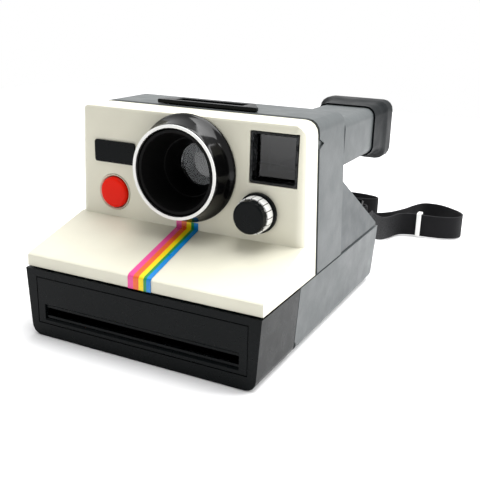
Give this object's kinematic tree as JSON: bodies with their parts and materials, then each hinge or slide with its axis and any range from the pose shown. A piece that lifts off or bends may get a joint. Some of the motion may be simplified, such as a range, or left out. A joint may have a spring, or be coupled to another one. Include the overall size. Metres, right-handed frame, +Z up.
{
  "type": "instant camera",
  "caption": "Box-type instant camera with a fixed-focus lens, finder tube, exposure dial, drop-down film door with processing rollers and a neck strap.",
  "frame": {"origin": "bottom centre of the camera's box, without the neck strap, on the surface that it stands on", "axes": "+X to the right of a person facing the lens, +Y from the lens back to the eyecup, +Z up"},
  "size_m": [0.1624, 0.2635, 0.0984],
  "materials": {
    "ivory_plastic": "satin",
    "pale_plastic": "satin",
    "white_print": "satin",
    "grey_textured_plastic": "fine texture",
    "black_satin_plastic": "satin",
    "black_gloss_plastic": "gloss",
    "black_matt_plastic": "matt",
    "red_plastic": "satin",
    "printed_band": "five printed colour bands",
    "yellow_plastic": "satin",
    "gear_plastic": "natural",
    "board": "lacquered",
    "phenolic": "matt",
    "coil_winding": "lacquered wire",
    "sensor": "dark",
    "lens_glass": "clear",
    "steel": "bright",
    "thin_steel": "blackened",
    "contact_brass": "bright",
    "mirror_glass": "front-silvered",
    "eyecup_rubber": "matt",
    "webbing": "woven"
  },
  "bodies": {
    "camera_body": {"front_cover": "ivory_plastic", "button_ring": "pale_plastic", "lens_ring": "white_print", "strap_keeper": "white_print", "main_housing": "grey_textured_plastic", "film_chassis": "grey_textured_plastic", "rear_cover": "grey_textured_plastic", "finder_tube": "grey_textured_plastic", "seam_frame": "black_satin_plastic", "finder_frame": "black_satin_plastic", "flash_socket": "black_satin_plastic", "dial_collar": "black_satin_plastic", "strap_lug_left": "black_satin_plastic", "strap_lug_right": "black_satin_plastic", "shutter_plate": "black_satin_plastic", "lens_barrel": "black_gloss_plastic", "name_plate": "black_gloss_plastic", "lens_baffle": "black_matt_plastic", "colour_stripe": "printed_band", "circuit_board": "board", "switch_block": "phenolic", "solenoid_coil": "coil_winding", "photocell": "sensor", "taking_lens": "lens_glass", "finder_front_lens": "lens_glass", "eyepiece_lens": "lens_glass", "door_hinge_pin": "steel", "shutter_screw_left": "steel", "shutter_screw_right": "steel", "button_spring": "steel", "counter_pin": "steel", "drive_motor": "steel", "flash_contacts": "contact_brass", "battery_contacts": "contact_brass", "mirror": "mirror_glass", "eyecup": "eyecup_rubber", "neck_strap": "webbing"},
    "shutter_button": {"shutter_button": "red_plastic"},
    "exposure_dial": {"exposure_dial": "black_satin_plastic", "dial_scale": "white_print"},
    "film_door": {"film_door": "black_satin_plastic", "door_panel": "black_satin_plastic", "roller_bracket_left": "steel", "roller_bracket_right": "steel"},
    "upper_roller": {"upper_roller": "steel", "upper_roller_gear": "gear_plastic"},
    "lower_roller": {"lower_roller": "steel", "lower_roller_gear": "gear_plastic"},
    "idler_gear": {"idler_gear": "gear_plastic"},
    "transfer_gear": {"transfer_gear": "gear_plastic"},
    "motor_pinion": {"motor_pinion": "gear_plastic"},
    "pick_gear": {"pick_gear": "gear_plastic"},
    "pick_arm": {"pick_arm": "steel"},
    "walking_beam": {"walking_beam": "thin_steel"},
    "shutter_blade_upper": {"shutter_blade_upper": "thin_steel"},
    "shutter_blade_lower": {"shutter_blade_lower": "thin_steel"},
    "solenoid_plunger": {"solenoid_plunger": "steel"},
    "counter_wheel": {"counter_wheel": "white_print"},
    "door_latch": {"door_latch": "yellow_plastic"}
  },
  "joints": [
    {"name": "film_door_hinge", "type": "hinge", "parent": "camera_body", "child": "film_door", "pos_m": [0, -0.0404, 0.0026], "axis": [1, 0, 0], "range_deg": [0, 80]},
    {"name": "shutter_button_press", "type": "slide", "parent": "camera_body", "child": "shutter_button", "axis": [0, 1, 0], "range_m": [0, 0.0018], "stiffness_N_per_m": 600},
    {"name": "exposure_dial_turn", "type": "hinge", "parent": "camera_body", "child": "exposure_dial", "pos_m": [0.0353, -0.0434, 0.0589], "axis": [0, -1, 0], "range_deg": [-45, 45]},
    {"name": "lower_roller_spin", "type": "hinge", "parent": "film_door", "child": "lower_roller", "pos_m": [0.0503, -0.0504, 0.0068], "axis": [1, 0, 0], "continuous": true},
    {"name": "upper_roller_spin", "type": "hinge", "parent": "film_door", "child": "upper_roller", "pos_m": [0.0503, -0.0504, 0.016], "axis": [1, 0, 0], "continuous": true},
    {"name": "idler_gear_spin", "type": "hinge", "parent": "camera_body", "child": "idler_gear", "pos_m": [0.0503, -0.03808, 0.01889], "axis": [1, 0, 0], "continuous": true},
    {"name": "transfer_gear_spin", "type": "hinge", "parent": "camera_body", "child": "transfer_gear", "pos_m": [0.0503, -0.03043, 0.03002], "axis": [1, 0, 0], "continuous": true},
    {"name": "motor_spin", "type": "hinge", "parent": "camera_body", "child": "motor_pinion", "pos_m": [0.0503, -0.0288, 0.0382], "axis": [1, 0, 0], "continuous": true},
    {"name": "pick_gear_spin", "type": "hinge", "parent": "camera_body", "child": "pick_gear", "pos_m": [0.0503, -0.02184, 0.01514], "axis": [1, 0, 0], "continuous": true},
    {"name": "pick_arm_stroke", "type": "slide", "parent": "camera_body", "child": "pick_arm", "axis": [0, -1, 0], "range_m": [0, 0.005], "stiffness_N_per_m": 100},
    {"name": "walking_beam_swing", "type": "hinge", "parent": "camera_body", "child": "walking_beam", "pos_m": [-0.027, -0.02, 0.0732], "axis": [0, 1, 0], "range_deg": [0, 37]},
    {"name": "upper_blade_slide", "type": "slide", "parent": "camera_body", "child": "shutter_blade_upper", "axis": [1, 0, 0], "range_m": [0, 0.005]},
    {"name": "lower_blade_slide", "type": "slide", "parent": "camera_body", "child": "shutter_blade_lower", "axis": [-1, 0, 0], "range_m": [0, 0.005]},
    {"name": "solenoid_pull", "type": "slide", "parent": "camera_body", "child": "solenoid_plunger", "axis": [1, 0, 0], "range_m": [0, 0.0049], "stiffness_N_per_m": 20},
    {"name": "counter_wheel_turn", "type": "hinge", "parent": "camera_body", "child": "counter_wheel", "pos_m": [-0.0462, 0.0426, 0.0331], "axis": [0, 0, 1], "range_deg": [0, 300]},
    {"name": "door_latch_pull", "type": "slide", "parent": "camera_body", "child": "door_latch", "axis": [0, 1, 0], "range_m": [0, 0.002], "stiffness_N_per_m": 200}
  ],
  "couplings": [
    {"joint": "upper_roller_spin", "follows": "lower_roller_spin", "ratio": -1},
    {"joint": "idler_gear_spin", "follows": "lower_roller_spin", "ratio": 0.57143},
    {"joint": "transfer_gear_spin", "follows": "lower_roller_spin", "ratio": -0.8421},
    {"joint": "motor_spin", "follows": "lower_roller_spin", "ratio": 1.6},
    {"joint": "pick_gear_spin", "follows": "lower_roller_spin", "ratio": -0.53333},
    {"joint": "walking_beam_swing", "follows": "solenoid_pull", "rad_per_m": 127.08},
    {"joint": "upper_blade_slide", "follows": "solenoid_pull", "ratio": 1},
    {"joint": "lower_blade_slide", "follows": "solenoid_pull", "ratio": 1}
  ]
}
